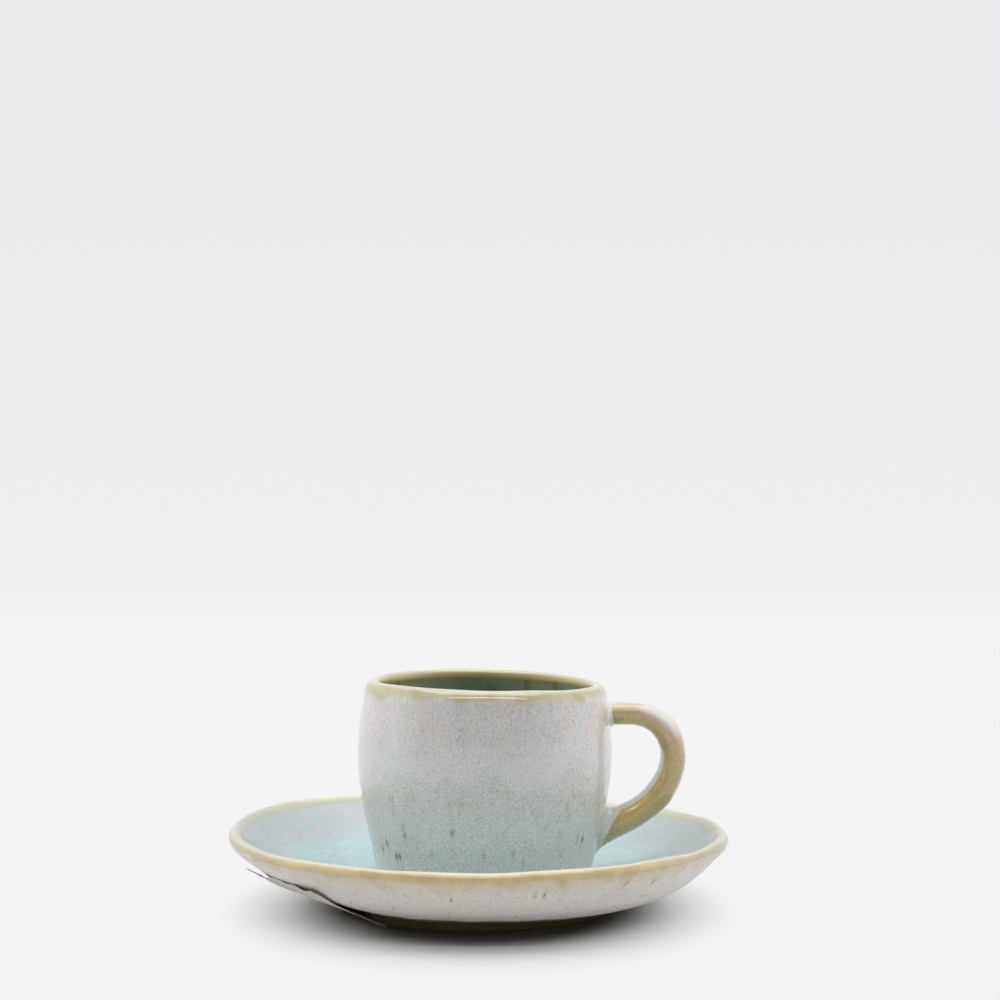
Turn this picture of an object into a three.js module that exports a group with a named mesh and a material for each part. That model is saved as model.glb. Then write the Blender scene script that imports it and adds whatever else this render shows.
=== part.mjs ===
// A stoneware coffee cup standing on its saucer, turned on the wheel, finished by hand and glazed.
// Millimetres, +Z up. The origin is on the table under the middle of the saucer, and the handle points along +X.
import * as THREE from "three";
import { mergeVertices } from "three/addons/utils/BufferGeometryUtils.js";

const { degToRad, lerp, smoothstep } = THREE.MathUtils;

// Gap between pieces that touch
const seam = 0.3;

// Cup, a barrel with its lip drawn in
const cupHeight = 60; // foot to the top of the lip
const cupBellyRadius = 38.5;
const cupBellyDrop = 21; // from the top of the lip down to the widest point
const cupShoulderDraw = 1.5; // how much narrower the shoulder is than the belly
const cupLipDraw = 3.3; // from the shoulder in to the top of the lip
const cupLipHeight = 5.6; // from the shoulder up to the top of the lip
const cupLipInside = 1.5; // rounding from the top of the lip to its inner face
const cupBaseRadius = 33;
const cupCornerRound = 2.4; // between the underside and the wall
const cupWall = 3.4;
const cupFloorThickness = 4.5;
const cupFloorRadius = 20; // flat middle of the floor inside
const cupOffCentre = 1.7; // the cup stands this far from the saucer's middle, towards the handle

// Cup's foot ring, under the flat of its base
const cupFootRadius = cupBaseRadius - cupCornerRound;
const cupFootWidth = 4.5;
const cupFootHeight = 2;

// Saucer, a shallow round dish
const saucerRadius = 75.2; // to the outermost point of the rim
const saucerHeight = 23; // table to the top of the rim
const saucerWall = 3.6;
const saucerRimLean = degToRad(45); // how far the wall leans outward under the rim
const saucerWellMargin = 3.7; // flat ground round the cup's foot
const saucerWellRadius = cupFootRadius + cupOffCentre + saucerWellMargin;
const saucerWellThickness = 5.5;

// Saucer's foot ring
const saucerFootRadius = 42.2;
const saucerFootWidth = 6;
const saucerFootHeight = 3;
const footEdgeRound = 0.6; // lower edges of both foot rings

// Handle, a pulled strap of clay
const handleTopDrop = 10.2; // from the top of the lip down to the centre of its upper end
const handleBottomHeight = 13.3; // from the foot up to the centre of its lower end
const handleFingerGap = 14.8; // cup's belly to the inside of the bow
const handleTopThickness = 7.1; // in the plane of the bow
const handleBottomThickness = 9;
const handleWidth = 9.6; // across the bow
const handleTopRun = 2.8; // straight stretch beyond the collar
const handleBottomRun = 6.3;
const handleBottomRise = degToRad(25); // slope of the lower straight stretch

// Slip collars, the fillets of wet clay that lute the handle to the cup
const collarHeight = 3.2; // along the handle
const collarSpread = 2.6; // over the cup's wall
const collarEdge = 0.25; // thickness where the fillet runs out

// Paper label, stuck under the saucer from the foot ring outward and coming loose
const labelLength = 45; // along the foot ring
const labelRimMargin = 8.4; // from the saucer's edge to the label's outer edge
const labelThickness = 0.25;
const labelAngle = degToRad(210); // where its middle lies, round from the handle
const labelPeel = 1.2; // how far its outer edge lifts off, in waves
const labelWaves = 1.3;
const labelCornerHeight = 1.2; // table to the corner that hangs

// How full the turned curves are: each control point as a share of the stretch that it bends
const saucerUndersidePull = { out: 0.65, up: 0.14, wall: 0.73 };
const saucerInsidePull = { out: 0.6, wall: 0.6 };
const cupLowerPull = { out: 0.46, up: 0.35, belly: 0.35 };
const cupUpperPull = { belly: 0.4, out: 0.4, down: 0.3 };
const cupInsidePull = { upper: 0.35, lower: 0.5, corner: 0.1 };

// What the hand left in the rims, as waves: times round, size, and the angle of one crest
const saucerRimRise = [[0, 0.3, 0], [1, 1.2, degToRad(133)], [2, 0.68, degToRad(-28)], [3, 0.47, degToRad(20)]];
const saucerRimSpread = [[2, 0.3, degToRad(-17)]];
const cupRimRise = [[1, 0.85, degToRad(150)], [2, 0.38, degToRad(90)]];
const cupRimSpread = [[1, 0.42, 0], [2, 0.3, degToRad(-29)]];

// How finely the forms are cut
const turnSegments = 48;
const undersideSteps = 12;
const handleSteps = 26;
const handleSides = 14;
const collarSides = 28;
const collarArcSteps = 5;
const labelLengthSteps = 24;
const labelWidthSteps = 4;
const mergeDistance = 1e-4;

const rightAngle = Math.PI / 2;
const pair = (radius, height) => new THREE.Vector2(radius, height);
const fromPolar = (radius, angle) => pair(radius * Math.cos(angle), radius * Math.sin(angle));
const line = (from, to) => new THREE.LineCurve(from, to);
const bezier = (...points) => new THREE.CubicBezierCurve(...points);

// Arc of a circle or an ellipse about a centre, with angles from the outward direction.
function arc(centre, across, up, start, end) {
  return new THREE.EllipseCurve(centre.x, centre.y, across, up, start, end);
}

// One outline from stretches, each a curve with its own number of steps.
function outlineOf(...stretches) {
  return stretches.flatMap(([curve, steps], i) => curve.getPoints(steps).slice(i ? 1 : 0));
}

// Closed body of revolution about +Z.
function turned(outline) {
  const geometry = new THREE.LatheGeometry(outline, turnSegments).rotateX(rightAngle);
  geometry.deleteAttribute("normal");
  geometry.deleteAttribute("uv");
  return mergeVertices(geometry, mergeDistance);
}

// Sum of a rim's waves at an angle.
function waver(waves, angle) {
  return waves.reduce((sum, [times, size, crest]) => sum + size * Math.cos(times * (angle - crest)), 0);
}

// Moves each point outward and upward by what the hand left there.
function handFormed(geometry, sway) {
  const place = geometry.getAttribute("position");
  for (let i = 0; i < place.count; i++) {
    const [x, y, height] = [place.getX(i), place.getY(i), place.getZ(i)];
    const angle = Math.atan2(y, x);
    const { out, up } = sway({ angle, radius: Math.hypot(x, y), height });
    place.setXYZ(i, x + out * Math.cos(angle), y + out * Math.sin(angle), height + up);
  }
  return geometry;
}

// Follows an outline along one coordinate to a value, and reads the other coordinate there.
function readOutline(points, along, across, value) {
  const next = points.findIndex((point) => point[along] >= value);
  if (next < 0) return points[points.length - 1][across];
  if (next === 0) return points[0][across];
  const [a, b] = [points[next - 1], points[next]];
  return lerp(a[across], b[across], (value - a[along]) / (b[along] - a[along]));
}

// Ring with a flat top and bottom and its two lower edges rounded.
function footRing(outerRadius, width, height) {
  const round = footEdgeRound;
  const innerRadius = outerRadius - width;
  const innerEdge = arc(pair(innerRadius + round, round), round, round, 2 * rightAngle, 3 * rightAngle);
  const outerEdge = arc(pair(outerRadius - round, round), round, round, 3 * rightAngle, 4 * rightAngle);
  return turned(
    outlineOf(
      [line(pair(innerRadius, height), pair(innerRadius, round)), 1],
      [innerEdge, 2],
      [line(pair(innerRadius + round, 0), pair(outerRadius - round, 0)), 1],
      [outerEdge, 2],
      [line(pair(outerRadius, round), pair(outerRadius, height)), 1],
      [line(pair(outerRadius, height), pair(innerRadius, height)), 1],
    ),
  );
}

// Saucer, with its underside on the foot ring

const saucerWellHeight = saucerFootHeight + saucerWellThickness;
const saucerLip = saucerWall / 2;
const saucerLipCentre = pair(saucerRadius - saucerLip, saucerHeight - saucerLip);

// Points of the lip where the wall's outer and inner faces run into it, and the way down the wall from there.
const onSaucerLip = (angle) => fromPolar(saucerLip, angle).add(saucerLipCentre);
const saucerLipOutside = onSaucerLip(-saucerRimLean);
const saucerLipInside = onSaucerLip(Math.PI - saucerRimLean);
const downSaucerWall = pair(-Math.sin(saucerRimLean), -Math.cos(saucerRimLean));

function saucerUnderside() {
  const { out, up, wall } = saucerUndersidePull;
  const flare = saucerLipOutside.x - saucerFootRadius;
  const rise = saucerLipOutside.y - saucerFootHeight;
  return bezier(
    pair(saucerFootRadius, saucerFootHeight),
    pair(saucerFootRadius + out * flare, saucerFootHeight + up * rise),
    saucerLipOutside.clone().addScaledVector(downSaucerWall, wall * rise),
    saucerLipOutside,
  );
}

function saucerInside() {
  const { out, wall } = saucerInsidePull;
  const flare = saucerLipInside.x - saucerWellRadius;
  const rise = saucerLipInside.y - saucerWellHeight;
  return bezier(
    saucerLipInside,
    saucerLipInside.clone().addScaledVector(downSaucerWall, wall * rise),
    pair(saucerWellRadius + out * flare, saucerWellHeight),
    pair(saucerWellRadius, saucerWellHeight),
  );
}

// The rim sways and the middle stays flat.
function saucerSway({ angle, radius }) {
  const share = smoothstep(radius, saucerFootRadius, saucerRadius);
  return { out: share * waver(saucerRimSpread, angle), up: share * waver(saucerRimRise, angle) };
}

function saucerDish() {
  const lip = arc(saucerLipCentre, saucerLip, saucerLip, -saucerRimLean, Math.PI - saucerRimLean);
  const outline = outlineOf(
    [line(pair(0, saucerFootHeight), pair(saucerFootRadius, saucerFootHeight)), 3],
    [saucerUnderside(), undersideSteps],
    [lip, 6],
    [saucerInside(), 12],
    [line(pair(saucerWellRadius, saucerWellHeight), pair(0, saucerWellHeight)), 3],
  );
  return handFormed(turned(outline), saucerSway);
}

// Cup, in its own frame, with its foot at height 0

const cupFloorHeight = cupFootHeight + cupFloorThickness;
const cupWallFoot = pair(cupBaseRadius, cupFootHeight + cupCornerRound);
const cupBelly = pair(cupBellyRadius, cupHeight - cupBellyDrop);
const cupShoulder = pair(cupBellyRadius - cupShoulderDraw, cupHeight - cupLipHeight);
const cupMouthRadius = cupShoulder.x - cupLipDraw;

function cupLowerWall() {
  const { out, up, belly } = cupLowerPull;
  const climb = cupBelly.y - cupWallFoot.y;
  const swell = cupBelly.x - cupWallFoot.x;
  return bezier(
    cupWallFoot,
    pair(cupWallFoot.x + out * swell, cupWallFoot.y + up * climb),
    pair(cupBelly.x, cupBelly.y - belly * climb),
    cupBelly,
  );
}

function cupUpperWall() {
  const { belly, out, down } = cupUpperPull;
  const climb = cupShoulder.y - cupBelly.y;
  return bezier(
    cupBelly,
    pair(cupBelly.x, cupBelly.y + belly * climb),
    pair(cupShoulder.x + out * cupShoulderDraw, cupShoulder.y - down * climb),
    cupShoulder,
  );
}

function cupInsideWall() {
  const { upper, lower, corner } = cupInsidePull;
  const lipFoot = pair(cupMouthRadius - cupLipInside, cupHeight - cupLipInside);
  const belly = pair(cupBelly.x - cupWall, cupBelly.y);
  const climb = upper * (lipFoot.y - belly.y);
  const drop = lower * (belly.y - cupFloorHeight);
  const floorEdge = pair(cupFloorRadius, cupFloorHeight);
  const turnIn = pair(cupBaseRadius - corner * cupWall, cupFloorHeight);
  return [
    bezier(lipFoot, pair(lipFoot.x, lipFoot.y - climb), pair(belly.x, belly.y + climb), belly),
    bezier(belly, pair(belly.x, belly.y - drop), turnIn, floorEdge),
  ];
}

// Outer wall from the base's corner up to the top of the lip.
const lipOutside = arc(pair(cupMouthRadius, cupShoulder.y), cupLipDraw, cupLipHeight, 0, rightAngle);
const cupWallPoints = outlineOf([cupLowerWall(), 8], [cupUpperWall(), 4], [lipOutside, 5]);

// The lip dips towards the handle and the foot stays level.
function cupSway({ angle, height }) {
  const share = smoothstep(height, cupFloorHeight, cupHeight);
  return { out: share * waver(cupRimSpread, angle), up: share * waver(cupRimRise, angle) };
}

function cupBody() {
  const [insideUpper, insideLower] = cupInsideWall();
  const round = cupCornerRound;
  const corner = arc(pair(cupFootRadius, cupWallFoot.y), round, round, 3 * rightAngle, 4 * rightAngle);
  const lipCentre = pair(cupMouthRadius, cupHeight - cupLipInside);
  const outline = outlineOf(
    [line(pair(0, cupFootHeight), pair(cupFootRadius, cupFootHeight)), 2],
    [corner, 3],
    [new THREE.SplineCurve(cupWallPoints), cupWallPoints.length - 1],
    [arc(lipCentre, cupLipInside, cupLipInside, rightAngle, 2 * rightAngle), 3],
    [insideUpper, 4],
    [insideLower, 8],
    [line(pair(cupFloorRadius, cupFloorHeight), pair(0, cupFloorHeight)), 2],
  );
  return handFormed(turned(outline), cupSway);
}

// Radius of the cup's outer wall at a point's angle and height.
function wallRadius({ x, y, z }) {
  const { out, up } = cupSway({ angle: Math.atan2(y, x), height: z });
  return readOutline(cupWallPoints, "y", "x", z - up) + out;
}

// Follows a direction in towards the cup and stops one seam short of its outer wall.
function meetWall(point, inward) {
  const at = (distance) => point.clone().addScaledVector(inward, distance);
  let [outside, inside] = [-cupBellyRadius, cupBellyRadius];
  while (inside - outside > mergeDistance) {
    const middle = (outside + inside) / 2;
    const here = at(middle);
    if (Math.hypot(here.x, here.y) > wallRadius(here) + seam) outside = middle;
    else inside = middle;
  }
  return at(outside);
}

// Handle, in the cup's frame

const sideways = new THREE.Vector3(0, 1, 0);
const topInward = new THREE.Vector3(-1, 0, 0);
const bottomInward = new THREE.Vector3(-Math.cos(handleBottomRise), 0, -Math.sin(handleBottomRise));
const topRoot = meetWall(new THREE.Vector3(cupBellyRadius, 0, cupHeight - handleTopDrop), topInward);
const bottomRoot = meetWall(new THREE.Vector3(cupBaseRadius, 0, handleBottomHeight), bottomInward);

// Thickness at a share of the way from the upper end to the lower one.
const handleThickness = (share) => lerp(handleTopThickness, handleBottomThickness, share);

// Straight out of the cup, round the bow, and straight back in.
function handleLine() {
  const topEnd = topRoot.clone().addScaledVector(topInward, -(collarHeight + handleTopRun));
  const bottomEnd = bottomRoot.clone().addScaledVector(bottomInward, -(collarHeight + handleBottomRun));
  const reach = cupBellyRadius + handleFingerGap + handleThickness(0.5) / 2;
  // A cubic curve reaches three quarters of the way to its two control points.
  const pulled = (end, inward) => end.clone().addScaledVector(inward, ((4 / 3) * (reach - end.x)) / inward.x);
  const path = new THREE.CurvePath();
  path.add(new THREE.LineCurve3(topRoot, topEnd));
  path.add(
    new THREE.CubicBezierCurve3(topEnd, pulled(topEnd, topInward), pulled(bottomEnd, bottomInward), bottomEnd),
  );
  path.add(new THREE.LineCurve3(bottomEnd, bottomRoot));
  return path;
}

// Point on the handle's oval, turned from the bow's outer side towards +Y and grown by an amount.
function onOval({ centre, along, thickness }, turn, grown) {
  const outer = new THREE.Vector3().crossVectors(sideways, along).normalize();
  return centre
    .clone()
    .addScaledVector(outer, (thickness / 2 + grown) * Math.cos(turn))
    .addScaledVector(sideways, (handleWidth / 2 + grown) * Math.sin(turn));
}

const turnsOf = (count) => Array.from({ length: count }, (_, i) => (i * 4 * rightAngle) / count);

// Faces between rows of points, each row closed on itself.
function skin(rows, { ring }) {
  const sides = rows[0].length;
  const faces = [];
  const spans = ring ? rows.length : rows.length - 1;
  for (let i = 0; i < spans; i++) {
    const [row, next] = [i * sides, ((i + 1) % rows.length) * sides];
    for (let j = 0; j < sides; j++) {
      const k = (j + 1) % sides;
      faces.push(row + j, row + k, next + k, row + j, next + k, next + j);
    }
  }
  return faces;
}

function cupHandle() {
  const path = handleLine();
  const rows = [];
  for (let i = 0; i <= handleSteps; i++) {
    const share = i / handleSteps;
    const oval = { centre: path.getPointAt(share), along: path.getTangentAt(share), thickness: handleThickness(share) };
    rows.push(turnsOf(handleSides).map((turn) => onOval(oval, turn, 0)));
  }
  rows[0] = rows[0].map((point) => meetWall(point, topInward));
  rows[handleSteps] = rows[handleSteps].map((point) => meetWall(point, bottomInward));
  const faces = skin(rows, { ring: false });
  const [topMiddle, bottomMiddle] = [rows.flat().length, rows.flat().length + 1];
  for (let j = 0; j < handleSides; j++) {
    const k = (j + 1) % handleSides;
    const last = handleSteps * handleSides;
    faces.push(k, j, topMiddle, last + j, last + k, bottomMiddle);
  }
  return new THREE.BufferGeometry().setFromPoints([...rows.flat(), topRoot, bottomRoot]).setIndex(faces);
}

// Fillet round one end of the handle, hollow between the cup's wall and the handle.
function slipCollar(root, inward, thickness) {
  const along = inward.clone().negate();
  const oval = { centre: root, along, thickness };
  const section = [pair(collarSpread, 0), pair(0, 0)];
  for (let i = 0; i <= collarArcSteps; i++) {
    const turn = (i / collarArcSteps) * rightAngle;
    const height = lerp(collarHeight, collarEdge, Math.sin(turn));
    section.push(pair(collarSpread * (1 - Math.cos(turn)), height));
  }
  const rows = turnsOf(collarSides).map((turn) =>
    section.map(({ x: spread, y: height }) => {
      const onWall = meetWall(onOval(oval, turn, seam + spread), inward);
      return onWall.addScaledVector(along, height);
    }),
  );
  return new THREE.BufferGeometry().setFromPoints(rows.flat()).setIndex(skin(rows, { ring: true }));
}

// Label, under the saucer

const undersidePoints = saucerUnderside().getPoints(undersideSteps);
const labelInnerEdge = saucerFootRadius + 2 * seam;
const labelOuterEdge = saucerRadius - labelRimMargin;

// Place in plan at shares of the label's length and of its width, counted inward.
function onLabel(along, inward) {
  const outward = lerp(labelOuterEdge, labelInnerEdge, inward);
  return pair(outward, (along - 0.5) * labelLength).rotateAround(pair(0, 0), labelAngle);
}

// Height of the label's upper face where it is stuck to the dish.
function stuckHeight(place) {
  const radius = place.length();
  const { up } = saucerSway({ angle: place.angle(), radius });
  return readOutline(undersidePoints, "x", "y", radius) + up - 2 * seam;
}

// How far the label has come loose: waves along its outer edge, and one inner corner that hangs.
function labelLoose(along, inward) {
  const wave = (1 + Math.cos(4 * rightAngle * labelWaves * along)) / 2;
  const cornerDrop = stuckHeight(onLabel(1, 1)) - labelThickness - labelCornerHeight;
  return labelPeel * wave * (1 - inward) ** 2 + cornerDrop * along ** 3 * inward ** 2;
}

// Thin closed sheet: a grid of points, the same grid lower by the thickness, and a strip round the edge.
function sheet(grid, thickness) {
  const [rows, columns] = [grid.length, grid[0].length];
  const upper = grid.flat();
  const lower = upper.map((point) => point.clone().setZ(point.z - thickness));
  const faces = [];
  const quad = (a, b, c, d) => faces.push(a, b, c, a, c, d);
  const edgeStrip = (a, b) => quad(a, a + upper.length, b + upper.length, b);
  for (let i = 0; i < rows - 1; i++) {
    for (let j = 0; j < columns - 1; j++) {
      const [a, b] = [i * columns + j, (i + 1) * columns + j];
      quad(a, b, b + 1, a + 1);
      quad(...[a, a + 1, b + 1, b].map((index) => index + upper.length));
      if (j === 0) edgeStrip(a, b);
      if (j === columns - 2) edgeStrip(b + 1, a + 1);
      if (i === 0) edgeStrip(a + 1, a);
      if (i === rows - 2) edgeStrip(b, b + 1);
    }
  }
  return new THREE.BufferGeometry().setFromPoints([...upper, ...lower]).setIndex(faces);
}

function paperLabel() {
  const grid = [];
  for (let i = 0; i <= labelLengthSteps; i++) {
    const along = i / labelLengthSteps;
    const row = [];
    for (let j = 0; j <= labelWidthSteps; j++) {
      const inward = j / labelWidthSteps;
      const place = onLabel(along, inward);
      row.push(new THREE.Vector3(place.x, place.y, stuckHeight(place) - labelLoose(along, inward)));
    }
    grid.push(row);
  }
  return sheet(grid, labelThickness);
}

// Finishes

const finish = (color, roughness) => new THREE.MeshStandardMaterial({ color, roughness, metalness: 0 });
const milkyGlaze = finish(0xc3c8c4, 0.25); // pale grey, aqua where it pools
const ochreGlaze = finish(0xb3a06b, 0.25); // the same glaze where it runs thin
const bareClay = finish(0x9c7f5e, 0.8);
const paper = finish(0xe9e7e1, 0.7);

function piece(name, geometry, material) {
  const mesh = new THREE.Mesh(geometry, material);
  mesh.name = name;
  return mesh;
}

const saucer = new THREE.Group();
saucer.add(piece("saucer_dish", saucerDish(), milkyGlaze));
saucer.add(piece("saucer_foot_ring", footRing(saucerFootRadius, saucerFootWidth, saucerFootHeight), bareClay));
saucer.add(piece("paper_label", paperLabel(), paper));

const cup = new THREE.Group();
cup.position.set(cupOffCentre, 0, saucerWellHeight);
cup.add(piece("cup_body", cupBody(), milkyGlaze));
cup.add(piece("cup_foot_ring", footRing(cupFootRadius, cupFootWidth, cupFootHeight), bareClay));
cup.add(piece("cup_handle", cupHandle(), ochreGlaze));
cup.add(piece("handle_upper_collar", slipCollar(topRoot, topInward, handleTopThickness), milkyGlaze));
cup.add(piece("handle_lower_collar", slipCollar(bottomRoot, bottomInward, handleBottomThickness), milkyGlaze));

const cupAndSaucer = new THREE.Group();
cupAndSaucer.add(saucer, cup);

export default cupAndSaucer;
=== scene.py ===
"""A stoneware coffee cup on its saucer, in a milky reactive glaze that breaks to ochre on the edges.

Every piece is worked up from its CAD solid: the solid's rings of points are read from the frame, drawn
finer along smooth curves, and given the small unevenness of thrown clay and running glaze. Lengths are in
mm until a mesh is made. A pair of numbers for a zone gives where it is missing and where it is full.
"""

import math

import bmesh
import bpy
import numpy as np
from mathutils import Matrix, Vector
from mathutils.bvhtree import BVHTree


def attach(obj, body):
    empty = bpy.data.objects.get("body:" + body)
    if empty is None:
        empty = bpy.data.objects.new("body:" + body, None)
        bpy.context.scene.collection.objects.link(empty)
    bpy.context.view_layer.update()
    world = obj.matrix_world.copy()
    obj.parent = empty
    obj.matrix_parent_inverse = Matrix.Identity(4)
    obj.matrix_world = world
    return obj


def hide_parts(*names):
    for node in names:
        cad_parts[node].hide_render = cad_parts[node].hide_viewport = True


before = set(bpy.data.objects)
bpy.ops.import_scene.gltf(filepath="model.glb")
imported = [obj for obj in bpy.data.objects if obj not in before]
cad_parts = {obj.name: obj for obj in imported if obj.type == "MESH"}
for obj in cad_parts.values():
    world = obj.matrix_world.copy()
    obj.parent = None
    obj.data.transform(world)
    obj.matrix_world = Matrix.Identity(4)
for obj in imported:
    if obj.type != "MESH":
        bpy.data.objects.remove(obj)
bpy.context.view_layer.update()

MM = 0.001
WELD = 1e-6  # metres

# Fineness of the drawn meshes: points round a ring, and the distance between rings
CUP_SIDES = 240
CUP_STEP = 0.8
DISH_SIDES = 288
DISH_STEP = 0.9
FOOT_SIDES = 192
HANDLE_SIDES = 72
HANDLE_STEP = 0.6
LEAST_STEPS = 2  # from one CAD ring to the next
FIELD_WAVES = 28  # waves that make up a random field
FIELD_PACES = (0.6, 1.5)  # how much slower or faster than the field's size they run

# Hand-made unevenness of the clay: depth, and distance between swellings
CUP_DENT_DEPTH = 0.1
CUP_DENT_SIZE = 26
CUP_DENT_ZONE = (0.5, 6)  # height over the cup's base, which stays true
DISH_DENT_DEPTH = 0.1
DISH_DENT_SIZE = 34
DISH_DENT_ZONE = (46, 54)  # radius, clear of both feet
HANDLE_DENT_DEPTH = 0.1
HANDLE_DENT_SIZE = 15
LIP_DENT_DEPTH = 0.05
LIP_DENT_SIZE = 24
LIP_DENT_REACH = 4  # distance from the lip over which its dents die out
THROWING_RING_DEPTH = 0.035
THROWING_RING_PITCH = 5.2
THROWING_RING_DRIFT = 60  # distance between the places where a ring wanders up and down

# Slow waves of the two lips: angle, width and rise
LIP_WAVE_REACH = 7  # distance from the lip over which they die out
CUP_LIP_WAVES = ((270, 60, -0.45), (90, 60, -0.25))
DISH_LIP_WAVES = ((270, 11, -0.5), (316, 26, 0.5))

# The saucer's wall stands up a little on one side
DISH_WARP = 2.2
DISH_WARP_ANGLE = math.radians(214)
DISH_WARP_WIDTH = math.radians(24)
DISH_WARP_ZONE = (74, 66)  # radius

# Handle, and the slip joints between it and the cup: how far the slip is smoothed along the handle, on its
# inner and its outer side, how far over the wall, and the nearest of the handle's rings that it may start
# from
UPPER_JOINT = {"inner": 2.0, "outer": 0.6, "wall": 2.4, "ring": 2}
LOWER_JOINT = {"inner": 5.5, "outer": 0.7, "wall": 3.4, "ring": 4}
JOINT_STEPS = 14
JOINT_SINK = 0.03  # the feathered edges end this far under the surface they run into
JOINT_ROOT = 1.2  # depth of the joint's hidden side
HANDLE_ROOT = 1.6  # the handle's ends go this far into the wall
HANDLE_END = 2  # rings from either end to the one that gives the direction into the wall
HANDLE_CLEAR = 8  # rings from either end to the first one that is clear of the wall all round
HANDLE_LEAVING = 32  # rings from either end over which the handle only leads away from the wall

# Foot rings
FOOT_CORNER = 0.6
FOOT_CORNER_STEPS = 6
FOOT_WALL_STEPS = 5
FOOT_ROOT = 0.3  # the ring's top goes this far into the body above it
FOOT_GRIT_DEPTH = 0.03
FOOT_GRIT_SIZE = 1.6
FOOT_STAIN_ZONE = (0.5, 0.9)  # height over the ring's underside
FOOT_STAIN_WANDER = 0.15
FOOT_STAIN_SIZE = 9

# Paper label under the saucer, stuck beside the foot ring
LABEL_LENGTH = 45
LABEL_INNER_EDGE = 42.8
LABEL_OUTER_EDGE = 66.8
LABEL_ANGLE = math.radians(210)
LABEL_THICKNESS = 0.16
LABEL_STEPS = (120, 56)
LABEL_GAP = 0.2  # where it is stuck
# Its outer edge stands off by so much, from one place along the label to another
LABEL_LOOSE = ((1.6, -1, -13), (0.9, -15, -22.5), (1.8, 8, 21))
LABEL_CURL = 3.5  # how sharply the loose edge curls
LABEL_WAVE = 0.5
LABEL_WAVE_PLACE = 7
LABEL_WAVE_WIDTH = 3.5
LABEL_CORNER_DROP = 1.6  # height of the hanging corner over the table
LABEL_HANG_ALONG = 5  # how sharply that corner bends, along the label and across it
LABEL_HANG_ACROSS = 3
BELOW_TABLE = -10

# Zones of glaze by a rim, in distance from the rim's crest, positive outside
OUTSIDE = (-0.6, 0.6)
INSIDE = (-0.3, -1.5)
# The crest's paler colour is partly a painted highlight
CREST_INNER_EDGE = (-2.8, -0.9)
CREST_OUTER_EDGE = (1.9, 0.5)
BAND = (5.2, 3.4)
BAND_WANDER = 0.6
BAND_WANDER_SIZE = 12

# Zones of glaze on the cup, in height over the table
CUP_LOW = (36, 12)
CUP_HIGH = (46, 58)
CUP_DIP = (42.5, 40.5)
CUP_STAIN_TOP = (40, 37)
CUP_STAIN_FOOT = (26, 32)
CUP_DROPS = (31, 25)
CUP_ZONE_WANDER = 1.2
CUP_ZONE_WANDER_SIZE = 8
CUP_ZONE_WANDER_TALL = 4
JOINT_HALO = 7.5  # reach of the paler glaze round the slip joints
JOINT_FROM_RIM = 12.0  # the slip joints are glazed as the wall is at this distance from the rim

# Runs of ochre inside the cup: angle, and length from the lip
LIP_RUNS = ((65.5, 15), (46.5, 11), (147, 8), (205, 8), (248, 14), (291, 10), (338, 12))
LIP_RUN_WIDTH = 1.1
LIP_RUN_FADE = 4

# Milk of the glaze on the handle. Sides go from -1 on the inner edge to 1 on the spine, and stations from
# 0 at the lower joint to 1 at the upper one
SPINE_MILK = (0.72, 1.05)
SPINE_MILK_SHARE = 0.9
BEND_MILK = (-0.35, 0.65)
BEND_MILK_SHARE = 0.86
BEND_STATION = 0.73
BEND_LENGTH = 0.16
INNER_MILK_START = 0.36
INNER_MILK_WIDTH = 0.34
INNER_MILK_RETREAT = 1.3  # over the upper half the milk draws back past the inner edge
INNER_MILK_RETREAT_ZONE = (0.55, 0.8)
LOWER_SLIP_REACH = 4.3  # milky slip along the handle from the wall
LOWER_SLIP_SLANT = 2.8  # less of it on the spine, and more on the inner edge
LOWER_SLIP_EDGE = 0.4
UPPER_SLIP_ZONE = (0.9, 0.4)

# Brighter ochre along the handle's flanks, with a gap half-way, and less of it towards the upper joint
FLANK_SIDE = -0.25
FLANK_WIDTH = 0.5
FLANK_GAP = 0.6
FLANK_GAP_STATION = 0.45
FLANK_GAP_LENGTH = 0.12
FLANK_LOSS = 0.7
FLANK_LOSS_ZONE = (0.7, 0.85)

# Zones of glaze on the saucer, in distance from the rim's crest or in radius
BELOW_BAND = (13, 5)
POOL = (-8, -29)
POOL_WANDER = 1.2
SWIRL_RADIUS = (16, 32)
# The underside round the foot, inside this radius, is darkened to olive as painted shade
UNDER_RADIUS = (58.5, 56.5)
UNDER_WANDER = 0.4
UNDER_WANDER_SIZE = 10
OCHRE_LEAST = 0.62  # share of its full width that the ochre band keeps away from the front
DRIP_RADIUS = 66  # where drips on the wall are drawn at their true spacing
STREAK_RADIUS = 60
STREAK_DRAWN_OUT = 0.12
STREAK_SIZE = 9
STREAK_DEPTH = 0.5
DISH_SIDE = (0.6, 0.95)  # how far an angle points to the left or right
GLOSSY_END = (-22, -10)
GLOSSY_END_SHARE = 0.7
GLOSSY_RIM = (2.2, 4.5)
RIM_SATIN = 0.06  # roughness on the rim, and what the wall adds to it
WALL_SATIN = 0.28

# Skin of the glaze: its orange peel, and the roughness that it gains on its grain
PEEL_SIZE = 1.9
PEEL_HEIGHT = 0.3
PEEL_STRENGTH = 0.05
GRAIN_ROUGHNESS = 0.12

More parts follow.
